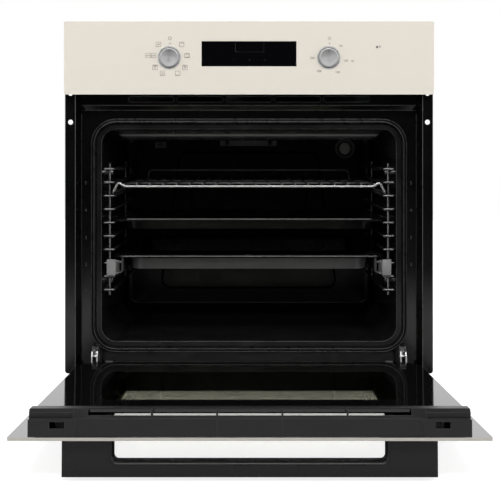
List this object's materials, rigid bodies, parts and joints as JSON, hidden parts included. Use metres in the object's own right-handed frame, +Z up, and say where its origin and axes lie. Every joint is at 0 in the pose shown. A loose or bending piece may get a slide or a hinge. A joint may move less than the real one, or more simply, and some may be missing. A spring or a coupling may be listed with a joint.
{
  "type": "built-in oven",
  "caption": "Built-in 60 cm electric oven with two pop-out knobs, a display and a drop-down glass door, shown open with its wire shelf, baking tray and deep pan on runners.",
  "frame": {"origin": "centre of the casing's underside, on the niche floor", "axes": "+Z up, -Y towards the user, +X to the user's right; the door is shown open"},
  "size_m": [0.596, 0.9903, 0.6081],
  "materials": {
    "panel_glass": "gloss",
    "clear_glass": "clear",
    "black_enamel": "gloss",
    "zinc_steel": "satin",
    "enamel": "gloss",
    "cavity_enamel": "gloss",
    "chrome_wire": "polished",
    "knob_metal": "satin",
    "element": "matte",
    "plastic_dark": "satin",
    "plastic_black": "gloss",
    "seal_rubber": "matte",
    "wool": "matte",
    "lens": "clear"
  },
  "bodies": {
    "oven": {"base_plate": "zinc_steel", "casing_shell": "zinc_steel", "back_panel": "zinc_steel", "front_frame": "black_enamel", "insulation": "wool", "cavity_liner": "cavity_enamel", "door_seal": "seal_rubber", "fan_cover": "cavity_enamel", "grill_element": "element", "grill_bracket": "zinc_steel", "bottom_element": "element", "ring_element": "element", "lamp_lens": "lens", "lamp_housing": "zinc_steel", "temperature_probe": "element", "ladder_rack_left": "chrome_wire", "ladder_rack_right": "chrome_wire", "rack_studs": "chrome_wire", "runner_rails": "zinc_steel", "panel_glass": "panel_glass", "panel_carrier": "plastic_dark", "display_module": "plastic_black", "knob_rings": "chrome_wire", "function_switch": "plastic_dark", "thermostat": "plastic_dark", "indicator_lens": "lens", "convection_motor": "zinc_steel", "cooling_duct": "zinc_steel", "cooling_motor": "zinc_steel", "terminal_block": "plastic_dark", "hinge_receivers": "zinc_steel", "hinge_arms": "zinc_steel", "hinge_pins": "zinc_steel"},
    "door": {"door_outer_glass": "panel_glass", "door_middle_glass": "clear_glass", "door_inner_glass": "clear_glass", "door_posts": "zinc_steel", "door_bottom_rail": "zinc_steel", "door_trim": "plastic_dark", "trim_clips": "plastic_dark", "door_handle": "plastic_dark", "handle_screws": "zinc_steel", "glass_clips": "zinc_steel", "hinge_channels": "zinc_steel", "hinge_springs": "zinc_steel"},
    "hinge_rods": {"hinge_rods": "zinc_steel"},
    "hinge_lock_left": {"hinge_lock_left": "zinc_steel"},
    "hinge_lock_right": {"hinge_lock_right": "zinc_steel"},
    "function_shaft": {"function_shaft": "zinc_steel"},
    "function_knob": {"function_knob": "knob_metal"},
    "temperature_shaft": {"temperature_shaft": "zinc_steel"},
    "temperature_knob": {"temperature_knob": "knob_metal"},
    "wire_shelf": {"wire_shelf": "chrome_wire"},
    "baking_tray": {"baking_tray": "enamel"},
    "deep_pan": {"deep_pan": "enamel", "runner_slides": "zinc_steel"},
    "runner_middles": {"runner_middles": "zinc_steel"},
    "convection_fan": {"convection_fan": "knob_metal"},
    "cooling_fan": {"cooling_fan": "plastic_dark"}
  },
  "joints": [
    {"name": "door_hinge", "type": "hinge", "parent": "oven", "child": "door", "pos_m": [0, -0.288, 0.032], "axis": [1, 0, 0], "range_deg": [-87.33, 0]},
    {"name": "rod_slide", "type": "slide", "parent": "door", "child": "hinge_rods", "axis": [0, 0.9989, -0.0466], "range_m": [-0.0202, 0.0001]},
    {"name": "lock_left_flip", "type": "hinge", "parent": "oven", "child": "hinge_lock_left", "pos_m": [-0.25, -0.278, 0.052], "axis": [1, 0, 0], "range_deg": [0, 100]},
    {"name": "lock_right_flip", "type": "hinge", "parent": "oven", "child": "hinge_lock_right", "pos_m": [0.25, -0.278, 0.052], "axis": [1, 0, 0], "range_deg": [0, 100]},
    {"name": "function_turn", "type": "hinge", "parent": "oven", "child": "function_shaft", "pos_m": [-0.128, -0.305, 0.5367], "axis": [0, 1, 0], "continuous": true},
    {"name": "function_push", "type": "slide", "parent": "function_shaft", "child": "function_knob", "axis": [0, -1, 0], "range_m": [0, 0.017]},
    {"name": "temperature_turn", "type": "hinge", "parent": "oven", "child": "temperature_shaft", "pos_m": [0.128, -0.305, 0.5367], "axis": [0, 1, 0], "range_deg": [0, 270]},
    {"name": "temperature_push", "type": "slide", "parent": "temperature_shaft", "child": "temperature_knob", "axis": [0, -1, 0], "range_m": [0, 0.017]},
    {"name": "shelf_slide", "type": "slide", "parent": "oven", "child": "wire_shelf", "axis": [0, -1, 0], "range_m": [0, 0.2]},
    {"name": "tray_slide", "type": "slide", "parent": "oven", "child": "baking_tray", "axis": [0, -1, 0], "range_m": [0, 0.2]},
    {"name": "pan_slide", "type": "slide", "parent": "oven", "child": "deep_pan", "axis": [0, -1, 0], "range_m": [0, 0.3]},
    {"name": "runner_middle", "type": "slide", "parent": "oven", "child": "runner_middles", "axis": [0, -1, 0], "range_m": [0, 0.1501]},
    {"name": "convection_spin", "type": "hinge", "parent": "oven", "child": "convection_fan", "pos_m": [0, 0.112, 0.24835], "axis": [0, 1, 0], "continuous": true},
    {"name": "cooling_spin", "type": "hinge", "parent": "oven", "child": "cooling_fan", "pos_m": [0, 0.13, 0.47], "axis": [0, 0, 1], "continuous": true}
  ],
  "couplings": [
    {"joint": "rod_slide", "follows": "door_hinge", "m_per_rad": 0.013122},
    {"joint": "runner_middle", "follows": "pan_slide", "ratio": 0.5}
  ]
}
